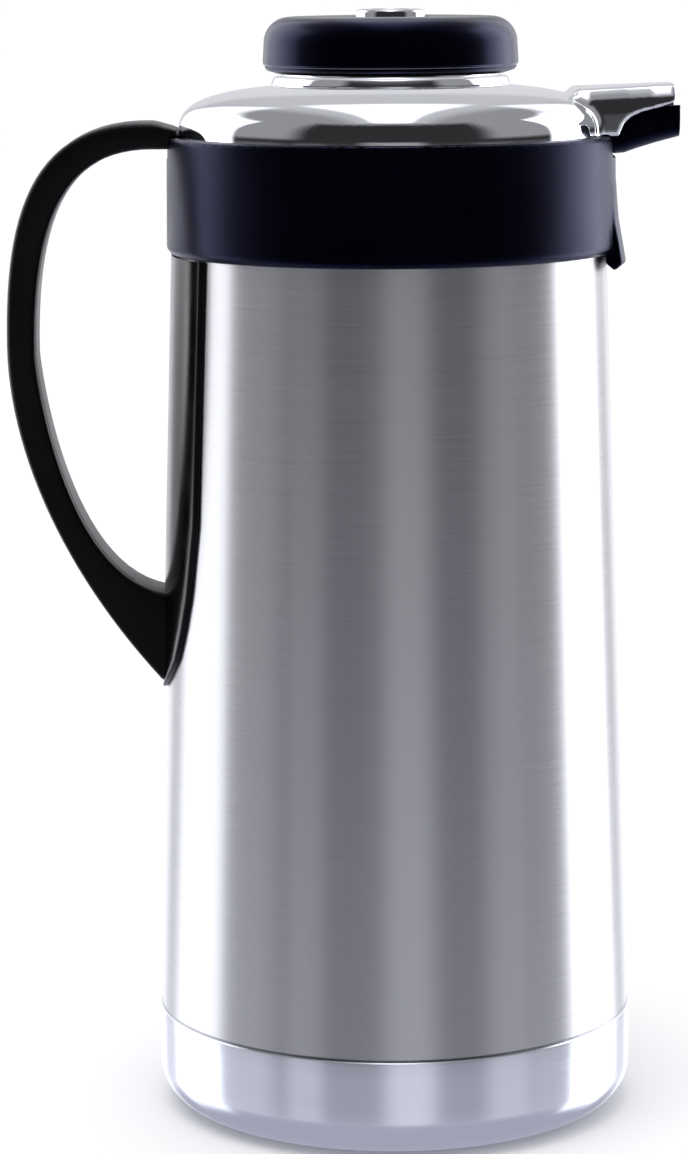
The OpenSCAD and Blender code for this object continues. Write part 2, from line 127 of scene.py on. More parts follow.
def build(name, verts, faces, material, body, node, sharp=32):
    """Makes a piece from millimetre vertices, rides it on a body and lets it stand for a CAD node."""
    mesh = bpy.data.meshes.new(name)
    points = (np.asarray(verts, dtype=float) - DATUM) * MM
    mesh.from_pydata(points.tolist(), [], [tuple(map(int, f)) for f in faces])
    bm = bmesh.new()
    bm.from_mesh(mesh)
    bmesh.ops.remove_doubles(bm, verts=bm.verts, dist=1e-7)
    bmesh.ops.recalc_face_normals(bm, faces=bm.faces)
    bm.to_mesh(mesh)
    bm.free()
    mesh.polygons.foreach_set("use_smooth", [True] * len(mesh.polygons))
    mesh.set_sharp_from_angle(angle=math.radians(sharp))
    obj = bpy.data.objects.new(name, mesh)
    bpy.context.scene.collection.objects.link(obj)
    mesh.materials.append(MATERIALS[material])
    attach(obj, body)
    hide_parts(node)
    return obj


def filleted(corners, steps=6):
    """Closed outline through (x, y, radius) corners, each rounded by its own radius."""
    out = []
    for i, corner in enumerate(corners):
        p = np.array(corner[:2], dtype=float)
        radius = corner[2] if len(corner) > 2 else 0
        back = np.array(corners[i - 1][:2]) - p
        ahead = np.array(corners[(i + 1) % len(corners)][:2]) - p
        reach = 0.49 * min(np.linalg.norm(back), np.linalg.norm(ahead))
        u, v = back / np.linalg.norm(back), ahead / np.linalg.norm(ahead)
        half = math.acos(max(-1, min(1, float(u @ v)))) / 2
        if radius <= 0 or half > 1.55:
            out.append(tuple(p))
            continue
        cut = min(radius / math.tan(half), reach)
        centre = p + (u + v) / np.linalg.norm(u + v) * cut / math.cos(half)
        first, last = p + u * cut - centre, p + v * cut - centre
        a0 = math.atan2(first[1], first[0])
        turn = math.atan2(last[1], last[0]) - a0
        turn = (turn + math.pi) % (2 * math.pi) - math.pi
        size = np.linalg.norm(first)
        for k in range(steps + 1):
            a = a0 + turn * k / steps
            out.append((centre[0] + size * math.cos(a), centre[1] + size * math.sin(a)))
    return out


def arc(cx, cy, rx, ry, start, end, steps=16):
    """Points along an ellipse's arc, angles in degrees."""
    angles = np.radians(np.linspace(start, end, steps + 1))
    return [(cx + rx * math.cos(a), cy + ry * math.sin(a)) for a in angles]


def revolve(profile, steps=192):
    """Vertices and faces of a closed (radius, height) outline turned about Z."""
    verts, faces, rings = [], [], []
    turn = [2 * math.pi * k / steps for k in range(steps)]
    for r, z in profile:
        first = len(verts)
        if r < 1e-6:
            verts.append((0, 0, z))
            rings.append([first] * steps)
        else:
            verts += [(r * math.cos(a), r * math.sin(a), z) for a in turn]
            rings.append(list(range(first, first + steps)))
    for i, a in enumerate(rings):
        b = rings[(i + 1) % len(rings)]
        for k in range(steps):
            m = (k + 1) % steps
            face = list(dict.fromkeys([a[k], a[m], b[m], b[k]]))
            if len(face) > 2:
                faces.append(face)
    return verts, faces


def loft(sections):
    """Vertices and faces through closed sections with equal point counts, capped at both ends."""
    count = len(sections[0])
    verts = [p for section in sections for p in section]
    faces = []
    for i in range(len(sections) - 1):
        for k in range(count):
            m = (k + 1) % count
            faces.append((i * count + k, i * count + m, (i + 1) * count + m, (i + 1) * count + k))
    last = (len(sections) - 1) * count
    faces.append(tuple(range(count)))
    faces.append(tuple(range(last + count - 1, last - 1, -1)))
    return verts, faces


# ---- implicit shapes ------------------------------------------------------------------------

def smooth_max(a, b, k):
    """The larger of two distances, with the edge between them rounded over about k."""
    h = np.maximum(k - np.abs(a - b), 0) / k
    return np.maximum(a, b) + h * h * k * 0.25


def smooth_min(a, b, k):
    """The smaller of two distances, with the corner between them filled over about k."""
    return -smooth_max(-a, -b, k)


def outline_distance(points, u, v):
    """Signed distance from (u, v) to a closed outline, negative inside."""
    best = np.full(np.broadcast(u, v).shape, 1e9)
    inside = np.zeros(best.shape, dtype=bool)
    for i in range(len(points)):
        (ax, ay), (bx, by) = points[i - 1], points[i]
        ex, ey = bx - ax, by - ay
        t = np.clip(((u - ax) * ex + (v - ay) * ey) / (ex * ex + ey * ey + 1e-12), 0, 1)
        best = np.minimum(best, (u - ax - t * ex) ** 2 + (v - ay - t * ey) ** 2)
        crosses = ((ay > v) != (by > v)) & (u < ex * (v - ay) / (ey if ey else 1e-12) + ax)
        inside ^= crosses
    return np.sqrt(best) * np.where(inside, -1, 1)


def implicit(field, lo, hi, cell):
    """Closed mesh of the surface where field is zero: one vertex a cell, then settled onto the surface."""
    lo, hi = np.array(lo, float), np.array(hi, float)
    axes = [np.arange(lo[i] - 1.3 * cell, hi[i] + 2.3 * cell, cell) for i in range(3)]
    grid = np.meshgrid(*axes, indexing="ij", sparse=True)
    f = np.broadcast_to(field(*grid), [len(a) for a in axes])
    size = np.array(f.shape) - 1
    total, hits = np.zeros((*size, 3)), np.zeros(size)
    edges = []
    for d in range(3):
        near = np.take(f, range(f.shape[d] - 1), d)
        far = np.take(f, range(1, f.shape[d]), d)
        cross = (near < 0) != (far < 0)
        step = np.where(cross, near / np.where(cross, near - far, 1), 0)
        place = np.stack(np.broadcast_arrays(*[
            (axes[i][:-1] if i == d else axes[i]).reshape([-1 if j == i else 1 for j in range(3)])
            for i in range(3)]), -1).astype(float).copy()
        place[..., d] += step * cell
        e, g = [i for i in range(3) if i != d]
        for a in (0, 1):
            for b in (0, 1):
                cut = [slice(None)] * 3
                cut[e] = slice(a, size[e] + a)
                cut[g] = slice(b, size[g] + b)
                cut = tuple(cut)
                hits += cross[cut]
                total += place[cut] * cross[cut][..., None]
        edges.append((e, g, cross))
    used = hits > 0
    index = np.full(size, -1)
    index[used] = np.arange(used.sum())
    verts = total[used] / hits[used][:, None]
    faces = []
    for e, g, cross in edges:
        where = np.argwhere(cross)
        across, along = where[:, e], where[:, g]
        where = where[(across > 0) & (along > 0) & (across < size[e]) & (along < size[g])]
        corners = []
        for a, b in ((1, 1), (0, 1), (0, 0), (1, 0)):
            cell_at = where.copy()
            cell_at[:, e] -= a
            cell_at[:, g] -= b
            corners.append(index[tuple(cell_at.T)])
        faces.append(np.stack(corners, 1))
    faces = np.concatenate(faces)
    h = 1e-3
    for _ in range(6):
        value, slope = field_slope(field, verts, h)
        move = value[:, None] * slope / np.maximum((slope ** 2).sum(1), 1e-6)[:, None]
        length = np.linalg.norm(move, axis=1, keepdims=True)
        verts = verts - move * np.minimum(1, 0.5 * cell / np.maximum(length, 1e-9))
    return verts, faces


def field_slope(field, points, h):
    """Value and gradient of a field at points."""
    x, y, z = points.T
    value = field(x, y, z)
    slope = np.stack([
        field(x + h, y, z) - field(x - h, y, z),
        field(x, y + h, z) - field(x, y - h, z),
        field(x, y, z + h) - field(x, y, z - h)], 1) / (2 * h)
    return value, slope


# ---- materials ------------------------------------------------------------------------------

def new_material(name, colour, metallic, roughness, **sockets):
    """A principled material, its nodes and its links; each named socket is set on the shader itself."""
    material = bpy.data.materials.new(name)
    material.use_nodes = True
    nodes, links = material.node_tree.nodes, material.node_tree.links
    shader = nodes["Principled BSDF"]
    shader.inputs["Base Color"].default_value = (*colour, 1)
    shader.inputs["Metallic"].default_value = metallic
    shader.inputs["Roughness"].default_value = roughness
    for socket, value in sockets.items():
        shader.inputs[socket.replace("_", " ")].default_value = value
    return material, nodes, links, shader


def grain(nodes, links, scale, detail=4.0, roughness=0.55):
    """Noise in the object's own space, in cycles per metre along X, Y and Z."""
    place = nodes.new("ShaderNodeTexCoord")
    mapping = nodes.new("ShaderNodeMapping")
    mapping.inputs["Scale"].default_value = scale
    noise = nodes.new("ShaderNodeTexNoise")
    noise.inputs["Scale"].default_value = 1.0
    noise.inputs["Detail"].default_value = detail
    noise.inputs["Roughness"].default_value = roughness
    links.new(place.outputs["Object"], mapping.inputs["Vector"])
    links.new(mapping.outputs["Vector"], noise.inputs["Vector"])
    return noise.outputs["Fac"]


def spread(nodes, links, value, low_out, high_out, low_in=0.3, high_in=0.7):
    """Maps a noise value onto a range."""
    node = nodes.new("ShaderNodeMapRange")
    node.inputs["From Min"].default_value = low_in
    node.inputs["From Max"].default_value = high_in
    node.inputs["To Min"].default_value = low_out
    node.inputs["To Max"].default_value = high_out
    links.new(value, node.inputs["Value"])
    return node.outputs["Result"]


def tint(nodes, links, value, dark, light):
    """Mixes two colours by a noise value."""
    node = nodes.new("ShaderNodeMix")
    node.data_type = "RGBA"
    node.inputs["A"].default_value = (*dark, 1)
    node.inputs["B"].default_value = (*light, 1)
    links.new(value, node.inputs["Factor"])
    return node.outputs["Result"]


def bump(nodes, links, shader, height, strength, distance):
    """Adds a relief to a shader."""
    node = nodes.new("ShaderNodeBump")
    node.inputs["Strength"].default_value = strength
    node.inputs["Distance"].default_value = distance
    links.new(height, node.inputs["Height"])
    links.new(node.outputs["Normal"], shader.inputs["Normal"])


def metal(name, dark, light, rough, brush, lines, relief=0.0, anisotropy=0.0):
    """Steel or chrome with fine lines round the axis: brush is the noise scale, lines its strength."""
    material, nodes, links, shader = new_material(name, light, 1.0, rough, Anisotropic=anisotropy)
    noise = grain(nodes, links, brush)
    cloud = grain(nodes, links, (28, 28, 20), detail=2)
    mix = nodes.new("ShaderNodeMath")
    mix.operation = "MULTIPLY_ADD"
    mix.inputs[1].default_value = 0.25
    links.new(cloud, mix.inputs[0])
    links.new(noise, mix.inputs[2])
    links.new(tint(nodes, links, spread(nodes, links, mix.outputs[0], 0, 1, 0.35, 0.85), dark, light),
              shader.inputs["Base Color"])
    links.new(spread(nodes, links, noise, rough - lines, rough + lines), shader.inputs["Roughness"])
    if anisotropy:
        tangent = nodes.new("ShaderNodeTangent")
        tangent.direction_type = "RADIAL"
        tangent.axis = "Z"
        links.new(tangent.outputs["Tangent"], shader.inputs["Tangent"])
        shader.inputs["Anisotropic Rotation"].default_value = 0.25
    if relief:
        bump(nodes, links, shader, noise, relief, 0.00005)
    return material


def moulded(name, dark, light, rough, grain_scale, relief, vary=0.05, sheen=None, **sockets):
    """Moulded plastic or rubber with a fine surface texture; sheen is its gloss face on and at a slant."""
    material, nodes, links, shader = new_material(name, light, 0.0, rough, **sockets)
    if sheen:
        slant = nodes.new("ShaderNodeLayerWeight")
        slant.inputs["Blend"].default_value = 0.5
        links.new(spread(nodes, links, slant.outputs["Facing"], *sheen, 0.12, 0.62),
                  shader.inputs["Specular IOR Level"])
    texture = grain(nodes, links, (grain_scale,) * 3, detail=3)
    cloud = grain(nodes, links, (45, 45, 45), detail=3)
    links.new(tint(nodes, links, spread(nodes, links, cloud, 0, 1), dark, light), shader.inputs["Base Color"])
    links.new(spread(nodes, links, cloud, rough - vary, rough + vary), shader.inputs["Roughness"])
    bump(nodes, links, shader, texture, relief, 0.0001)
    return material


COOL = (0.20, 0.24, 1.0, 1.0)
NAVY = (0.0004, 0.0004, 0.0010)
SOOT, GRAPHITE = (0.0012, 0.0012, 0.0016), (0.0024, 0.0024, 0.0030)
MATERIALS = {
    "brushed_steel": metal("brushed_steel", (0.60, 0.60, 0.61), (0.67, 0.67, 0.68), 0.30,
                           (30, 30, 5200), 0.03, relief=0.05, anisotropy=0.8),
    "polished_steel": metal("polished_steel", (0.74, 0.76, 0.82), (0.79, 0.81, 0.87), 0.20,
                            (30, 30, 2600), 0.03, relief=0.03, anisotropy=0.45),
    "chrome": metal("chrome", (0.86, 0.87, 0.90), (0.90, 0.91, 0.94), 0.045, (60, 60, 60), 0.012),
    "black_plastic": moulded("black_plastic", NAVY, (0.0008, 0.0008, 0.0020), 0.34,
                             2600, 0.10, sheen=(0.03, 0.62), Specular_Tint=COOL),
    "grip_plastic": moulded("grip_plastic", SOOT, GRAPHITE, 0.40, 2200, 0.30, sheen=(0.10, 0.60)),
    "gloss_black": moulded("gloss_black", NAVY, (0.0007, 0.0007, 0.0018), 0.26,
                           1800, 0.03, vary=0.03, sheen=(0.03, 0.58), Specular_Tint=COOL),
    "white_plastic": moulded("white_plastic", (0.76, 0.76, 0.74), (0.82, 0.82, 0.80), 0.45, 1500, 0.1),
    "foam": moulded("foam", (0.74, 0.72, 0.64), (0.88, 0.86, 0.78), 0.85, 900, 0.8),
    "silicone": moulded("silicone", (0.60, 0.60, 0.56), (0.72, 0.72, 0.68), 0.42, 1400, 0.15,
                        Subsurface_Weight=0.2),
    "foot_rubber": moulded("foot_rubber", (0.012, 0.012, 0.013), (0.022, 0.022, 0.024), 0.7, 1300, 0.5),
    "foil": metal("foil", (0.72, 0.52, 0.36), (0.86, 0.66, 0.48), 0.22, (300, 300, 300), 0.08, relief=0.4),
    "steel": metal("steel", (0.50, 0.50, 0.52), (0.66, 0.66, 0.68), 0.28, (120, 120, 1800), 0.06, relief=0.1),
    "inner_steel": metal("inner_steel", (0.52, 0.52, 0.53), (0.66, 0.66, 0.67), 0.34, (40, 40, 2200), 0.07,
                         relief=0.12, anisotropy=0.5),
}
for part in frame["record"]["subparts"]:
    cad = frame["nodes"][part["node"]]
    cad.data.materials.clear()
    cad.data.materials.append(MATERIALS[part["material_slot"]])


# ---- bottle ---------------------------------------------------------------------------------

def shell_wall(inset):
    """Side of the brushed shell from its foot to its neck."""
    joggle = BASE_R - 1.1 - inset
    neck = SHELL_NECK_R - inset
    return ([(joggle, SHELL_END_Z), (joggle, SEAM_Z - 0.7 + inset),
             (SHELL_LOW_R - 0.35 - inset, SEAM_Z + inset), (SHELL_LOW_R - inset, SEAM_Z + 0.35 + inset)]
            + [(shell_r(z) - inset, z) for z in np.linspace(SEAM_Z + 8, SHOULDER_Z, 24)]
            + arc(neck, SHOULDER_Z, SHELL_TOP_R - SHELL_NECK_R, 14 - inset, 4, 90, 16)
            + [(neck, 252)])


def cup_wall(inset):
    """Side of the base cup from its floor to its rim."""
    corner = 10
    return ([(0, FOOT_Z + inset)]
            + arc(BASE_R - corner, FOOT_Z + corner, corner - inset, corner - inset, -90, 0, 24)
            + [(BASE_R - inset, z) for z in np.linspace(FOOT_Z + corner + 3, SEAM_Z - 1.6, 4)]
            + [(BASE_R - 0.04 - inset, SEAM_Z - 0.6), (BASE_R - 0.28 - inset * 0.8, SEAM_Z - 0.32)])


build("brushed_shell", *revolve(shell_wall(0) + shell_wall(SHEET)[::-1]),
      "brushed_steel", "root", "outer_shell")
build("polished_base", *revolve(cup_wall(0) + cup_wall(1)[::-1]), "polished_steel", "root", "base_cup")
build("foot_disc", *revolve(filleted([(0, DATUM[2]), (50, DATUM[2], 0.3), (50, FOOT_Z, 0.2), (0, FOOT_Z)])),
      "foot_rubber", "root", "foot_pad")


# ---- collar ---------------------------------------------------------------------------------

COLLAR_OUTLINE = filleted([
    (shell_r(COLLAR_LOW_Z) + 0.3, COLLAR_LOW_Z, 0.1), (COLLAR_R - 0.9, COLLAR_LOW_Z, 0.5),
    (COLLAR_R + 0.3, COLLAR_LOW_Z + 1.5, 0.9), (COLLAR_R, COLLAR_TOP_Z, 0.7),
    (DOME_R + 0.4, COLLAR_TOP_Z, 0.2), (DOME_R + 0.4, WEB_Z), (31, WEB_Z), (31, WEB_Z - 2),
    (SHELL_TOP_R + 0.4, WEB_Z - 2), (SHELL_TOP_R + 0.4, SHOULDER_Z)], steps=4)
KEEL_OUTLINE = [
    (COLLAR_R - 1, 246), (COLLAR_R, 244.4), (COLLAR_R + 0.95, 235.4), (COLLAR_R + 2.85, 224.7),
    (COLLAR_R + 0.8, KEEL_TIP_Z + 0.05), (shell_r(224) + 0.5, 224.8), (shell_r(230) + 0.8, 230)]
KEEL_HALF = math.radians(15)


def collar_field(x, y, z):
    """Band round the shoulder, with its keel and the gap that the spout leaves through."""
    r = np.sqrt(x * x + y * y)
    ring = outline_distance(COLLAR_OUTLINE, r, z)
    side = np.abs(y) * math.cos(KEEL_HALF) - x * math.sin(KEEL_HALF)
    keel = smooth_max(outline_distance(KEEL_OUTLINE, r, z), side, 1.0)
    whole = smooth_min(ring, keel, 0.8)
    gap = np.maximum(np.maximum(np.abs(y) - 12.7, 251.5 - z), 50 - x)
    tongue = np.maximum(np.maximum(np.abs(y) - 7.2, 251.7 - z), np.maximum(x + 46, -66 - x))
    return np.maximum(whole, np.maximum(-gap, -tongue))


# ---- pouring head ---------------------------------------------------------------------------

def dome_distance(r, z, inset):
    """Distance from the dome's squared-off curve."""
    a = np.maximum(r, 1e-3) / (DOME_R - inset)
    b = np.maximum(z - DOME_FOOT_Z, 0) / (DOME_RISE - inset)
    total = np.maximum(a ** DOME_POWER + b ** DOME_POWER, 1e-6)
    slope = total ** (1 / DOME_POWER - 1)
    across = slope * a ** (DOME_POWER - 1) / (DOME_R - inset)
    up = slope * b ** (DOME_POWER - 1) / (DOME_RISE - inset)
    return (total ** (1 / DOME_POWER) - 1) / np.sqrt(across ** 2 + up ** 2 + 1e-12)


HOOD_BACK_X = 45.4
HOOD_PLAN = [
    (30, -17.2), (50, -16.9), (60, -14.0), (66, -12.7), (SPOUT_X + 8, -11.5),
    (SPOUT_X + 8, 11.5), (66, 12.7), (60, 14.0), (50, 16.9), (30, 17.2)]
HOOD_SIDE = [
    (30, COLLAR_TOP_Z + 0.05), (57.3, COLLAR_TOP_Z + 0.05), (57.5, 257.4), (58.6, 259.9), (60.4, 261.5),
    (63, 262.7), (67.6, 263.8), (SPOUT_X - 1.5, 265), (SPOUT_X + 0.2, 266.6), (SPOUT_X + 0.2, 290), (30, 290)]


def hood_distance(x, y, z, inset):
    """Hood over the spout: a gently rising roof with rounded shoulders on tapering sides."""
    roof = z - (268.6 + (x - 46) * 0.04) + inset
    sides = outline_distance(HOOD_PLAN, x, y) + inset
    return smooth_max(roof, sides, 6.5)


def dome_field(x, y, z):
    """Chrome cover: dome and hood blended together, hollow, open at the neck and at the spout's tip."""
    r = np.sqrt(x * x + y * y)
    hood = smooth_max(hood_distance(x, y, z, 0), outline_distance(HOOD_SIDE, x, z), 0.9)
    hood = smooth_max(hood, HOOD_BACK_X - x + 0.25 * (z - 266), 1.6)
    hood = smooth_max(hood, x - (SPOUT_X - 0.75), 1.2)
    outer = smooth_min(dome_distance(r, z, 0), hood, 1.8)
    hood_inside = np.maximum(hood_distance(x, y, z, 1.3), HOOD_BACK_X + 1.3 - x)
    inner = np.minimum(dome_distance(r, z, 1.2), hood_inside)
    shell = smooth_max(outer, -inner, 0.7)
    trough = np.maximum(np.maximum(np.abs(y) - 12.9, z - 262), 40 - x)
    shell = np.maximum(shell, -trough)
    tongue = np.maximum(np.maximum(np.abs(y) - 7.4, z - 255.1), x + 48)
    shell = np.maximum(shell, -tongue)
    return smooth_max(np.maximum(shell, WEB_Z + 0.1 - z), 29 - r, 0.5)


TROUGH_STATIONS = [28.1, 30, 36, 44, 50, 54, 57, 59, 60.5, 62, 64, 66.5, 69, 71.5, SPOUT_X - 0.9, SPOUT_X]


def trough_section(x):
    """U-shaped section of the spout trough at a distance from the axis."""
    half = np.interp(x, [28, 57, 66, SPOUT_X], [11.5, 12.3, 11.1, 10.2])
    under = np.interp(x, [28, 31, 57, 59.5, 61.1, 66.2, SPOUT_X - 1, SPOUT_X],
                      [254.1, 254.1, 252.2, 252.4, 253.1, 254.6, 256.1, 256.35])
    floor = np.interp(x, [28, 57, 66, SPOUT_X], [255.6, 255.6, 256.6, 257.9])
    wall = 1.6
    top = 264.35
    inside = half - wall
    corners = [(-half, top, 0.4), (-half, under, 4.5), (half, under, 4.5), (half, top, 0.4),
               (inside, top, 0.4), (inside, floor, 3), (-inside, floor, 3), (-inside, top, 0.4)]
    return [(x, y, z) for y, z in filleted(corners, steps=5)]


def neck_ring_outline():
    """Thin neck above the dome, with the flange that rests on it."""
    return filleted([
        (26.9, 269.5), (NECK_FLANGE_R, 269.5, 0.2), (NECK_FLANGE_R, 270.2, 0.5), (29.7, 271.8, 0.7),
        (27.7, 272.05, 0.5), (27.7, NECK_TOP_Z, 0.4), (26.9, NECK_TOP_Z, 0.2)])


build("pouring_collar", *implicit(collar_field, (-59, -59, KEEL_TIP_Z), (61.5, 59, COLLAR_TOP_Z), 0.8),
      "black_plastic", "root", "collar", sharp=50)
build("chrome_dome", *implicit(dome_field, (-55, -55, WEB_Z), (SPOUT_X, 55, 270.5), 0.6),
      "chrome", "root", "dome_cover", sharp=55)
build("chrome_neck_ring", *revolve(neck_ring_outline()), "chrome", "root", "neck_ring")
build("pour_trough", *loft([trough_section(x) for x in TROUGH_STATIONS]),
      "black_plastic", "root", "spout_trough")


# ---- handle ---------------------------------------------------------------------------------

def bezier(points, steps, start=0.0, end=1.0):
    """Points along a cubic curve."""
    t = np.linspace(start, end, steps + 1)[:, None]
    p = np.array(points, float)
    return (1 - t) ** 3 * p[0] + 3 * (1 - t) ** 2 * t * p[1] + 3 * (1 - t) * t * t * p[2] + t ** 3 * p[3]


GRIP_TOP = (-61, 260.6), (-93, 261.6), (-98.6, 234.7), (-98.6, 204)
GRIP_LOW = (-98.6, 204), (-98.6, 175.2), (-83.8, 143.7), (-60.3, 117.2)
PALM_TOP = (-61, 253.9), (-84, 253.9), (-91.4, 234.6), (-91.4, 202)
PALM_LOW = (-91.4, 202), (-91.4, 197.7), (-85.6, 148), (-61.8, 140.4)


def grip_lines(steps=26):
    """Matching points down the back and the palm side of the grip."""
    back = np.concatenate([bezier(GRIP_TOP, steps), bezier(GRIP_LOW, steps)[1:]])
    palm = np.concatenate([bezier(PALM_TOP, steps), bezier(PALM_LOW, steps)[1:]])
    return back, palm


def box_section(back, palm, half, bevel):
    """Rounded rectangle across the grip, between a back point and a palm point."""
    back, palm = np.array(back), np.array(palm)
    deep = np.linalg.norm(palm - back)
    across = (palm - back) / deep
    corners = [(-half, 0, bevel), (half, 0, bevel), (half, deep, bevel), (-half, deep, bevel)]
    return [(back[0] + across[0] * v, u, back[1] + across[1] * v) for u, v in filleted(corners, steps=4)]


def grip_sections():
    """The grip from its wedge on the collar's rim to its root on the strip."""
    back, palm = grip_lines()
    hook = [((-54.7, 258.7), (-54.7, 256.9), 0.8), ((-56.2, 259.3), (-56.2, 256.85), 1.0),
            ((-56.6, 259.4), (-56.6, 253.95), 1.3), ((-59.2, 260.2), (-59.2, 253.9), 1.6)]
    sections = [box_section(b, p, GRIP_HALF, bevel) for b, p, bevel in hook]
    sections += [box_section(b, p, GRIP_HALF, 1.9) for b, p in zip(back, palm)]
    sections.append(box_section((-58.9, 116.3), (-58.9, 139.6), GRIP_HALF, 1.9))
    return sections


def cover_sections():
    """The palm cover: a thin band let into the palm side, crowned a little across."""
    _, palm = grip_lines()
    run = palm[6:-2]
    slope = np.gradient(run, axis=0)
    normal = np.stack([-slope[:, 1], slope[:, 0]], 1) / np.linalg.norm(slope, axis=1, keepdims=True)
    return [box_section(p + n * 0.12, p - n * 1.8, COVER_HALF - 0.2, 0.5) for p, n in zip(run, normal)]


def strip_sections():
    """The backing strip: a shield-shaped plate that wraps the shell, from its tip to the collar."""
    top = COLLAR_LOW_Z - 0.3
    heights = np.concatenate([113.9 + 13 * np.linspace(0.02, 1, 10) ** 2, np.linspace(129, top, 26)])
    full = (shell_r(190) + 1.3) * math.sin(STRIP_HALF)
    sections = []
    for z in heights:
        half = np.interp(z, [113.8, 114.5, 115.8, 118.3, 123.5, 131, 142, 160, top],
                         [1.2, 4.2, 7.4, 12.9, 19.9, 23.9, full - 2.4, full, full])
        r_in, r_out = shell_r(z) + 0.12, shell_r(z) + STRIP_T
        edge = min(0.6, half * 0.3)
        outer = [(y, r_out - (edge * (1 - math.sqrt(max(0, 1 - t * t))) if t > 0 else 0))
                 for y, t in strip_steps(half, edge)]
        inner = [(y, r_in) for y in np.linspace(half, -half, 9)]
        sections.append([(-math.sqrt(r * r - y * y), y, z) for y, r in outer + inner])
    return sections


def strip_steps(half, edge):
    """Places across the strip, with how far each is into the rounded edge (0 to 1)."""
    flat = [(y, 0) for y in np.linspace(-half + edge, half - edge, 17)]
    rise = [(-half + edge * (1 - t), t) for t in (1, 0.9, 0.7, 0.4)]
    fall = [(half - edge * (1 - t), t) for t in (0.4, 0.7, 0.9, 1)]
    return rise + flat + fall


build("grip", *loft(grip_sections()), "grip_plastic", "root", "handle_grip", sharp=40)
build("palm_cover", *loft(cover_sections()), "grip_plastic", "root", "handle_cover")
strip = build("backing_strip", *loft(strip_sections()), "grip_plastic", "root", "handle_strip", sharp=50)
strip.data.materials[0] = moulded("strip_plastic", SOOT, GRAPHITE, 0.17, 2200, 0.10, sheen=(0.10, 0.55))


# ---- stopper --------------------------------------------------------------------------------

def knob_outline():
    """Rounded cap of the knob, hollow below, with the button's bore."""
    edge = 6.5
    side = KNOB_R - 0.4
    bore = BUTTON_R + 0.3
    return (arc(side - edge, KNOB_TOP_Z - edge, edge, edge, 0, 90, 20)
            + [(20, KNOB_TOP_Z), (bore + 1.2, KNOB_TOP_Z), (bore + 0.35, KNOB_TOP_Z - 0.25),
               (bore, KNOB_TOP_Z - 0.8), (bore, KNOB_TOP_Z - 2)]
            + arc(side - edge, KNOB_TOP_Z - edge, edge - 2, edge - 2, 90, 0, 12)
            + [(KNOB_R - 2, 274.7), (KNOB_R - 0.5, 274.6), (KNOB_R - 0.15, 275.1), (KNOB_R - 0.15, 276.2)])


def knob_ring_outline():
    """Ring that closes the knob from below."""
    return filleted([
        (28.2, 272.6, 0.15), (28.9, 272.6, 0.2), (31.6, 273.45, 1.2), (KNOB_R - 0.25, 274.55, 0.4),
        (30.6, 274.55), (28.2, 274.35)])


def button_outline():
    """Button cap: a rim round a shallow well, a flange that keeps it in, and the stem's socket."""
    flange = KNOB_TOP_Z - 2.3
    well = BUTTON_TOP_Z - 0.8
    top = BUTTON_TOP_Z
    return filleted([
        (0, well), (BUTTON_R - 2.2, well), (BUTTON_R - 2.2, top - 0.1, 0.25), (BUTTON_R - 1.2, top, 0.5),
        (BUTTON_R, top - 0.35, 0.8), (BUTTON_R, flange, 0.2), (BUTTON_R + 1.5, flange, 0.2),
        (BUTTON_R + 1.5, flange - 1.9, 0.2), (7.2, flange - 1.9), (7.2, top - 4), (4.6, top - 4),
        (4.6, top - 9), (2.52, top - 9), (2.52, top - 3), (0, top - 3)])


def inset_outline():
    """Dished disc set in the button's well."""
    rim = BUTTON_R - 2.25
    base = BUTTON_TOP_Z - 0.8
    dish = [(r, base + 0.35 + 0.25 * (r / rim) ** 2) for r in np.linspace(rim - 0.5, 0, 10)]
    return [(0, base), (rim, base), (rim, base + 0.35), (rim - 0.15, base + 0.6)] + dish


def ring_outline(node, r_in, lip=0.35):
    """A gasket's section: a rounded bar with two small lips on its outer side."""
    r_out = high(node)[0]
    z0, z1 = low(node)[2], high(node)[2]
    mid, rise = (z0 + z1) / 2, (z1 - z0) * 0.22
    return filleted([
        (r_in, z0, 0.3), (r_out - lip, z0, 0.2), (r_out, z0 + rise, 0.25), (r_out - lip, mid, 0.2),
        (r_out, z1 - rise, 0.25), (r_out - lip, z1, 0.2), (r_in, z1, 0.3)])


def coil(radius, wire_r, z0, z1, turns=6, steps=32, sides=12):
    """Vertices and faces of a round wire wound about the axis."""
    sections = []
    for i in range(turns * steps + 1):
        a = 2 * math.pi * i / steps
        z = z0 + (z1 - z0) * i / (turns * steps)
        ring = arc(radius, z, wire_r, wire_r, 0, 360, sides)[:-1]
        sections.append([(r * math.cos(a), r * math.sin(a), h) for r, h in ring])
    return loft(sections)


def button_coil():
    """The spring under the button, wound from its seat up to the button; the whole coil rides on the button.
    """
    wire_r = 0.5
    radius = high("button_spring")[0] - wire_r
    foot, top = low("button_spring")[2] + wire_r, high("button_spring")[2] - wire_r
    spring = build("button_coil", *coil(radius, wire_r, foot, top), "steel", "button", "button_spring")
    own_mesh(spring)


build("knob", *revolve(knob_outline()), "gloss_black", "stopper", "knob_cap")
build("knob_underside", *revolve(knob_ring_outline()), "black_plastic", "stopper", "knob_base_ring")
button_coil()
build("button_cap", *revolve(button_outline(), 96), "chrome", "button", "push_button")
build("button_disc", *revolve(inset_outline(), 96), "gloss_black", "button", "button_inset")
build("neck_seal", *revolve(ring_outline("upper_gasket", 21.3)), "silicone", "seal_ring", "upper_gasket")
build("plug_seal", *revolve(ring_outline("lower_gasket", 20.5)), "silicone", "plug_ring", "lower_gasket")
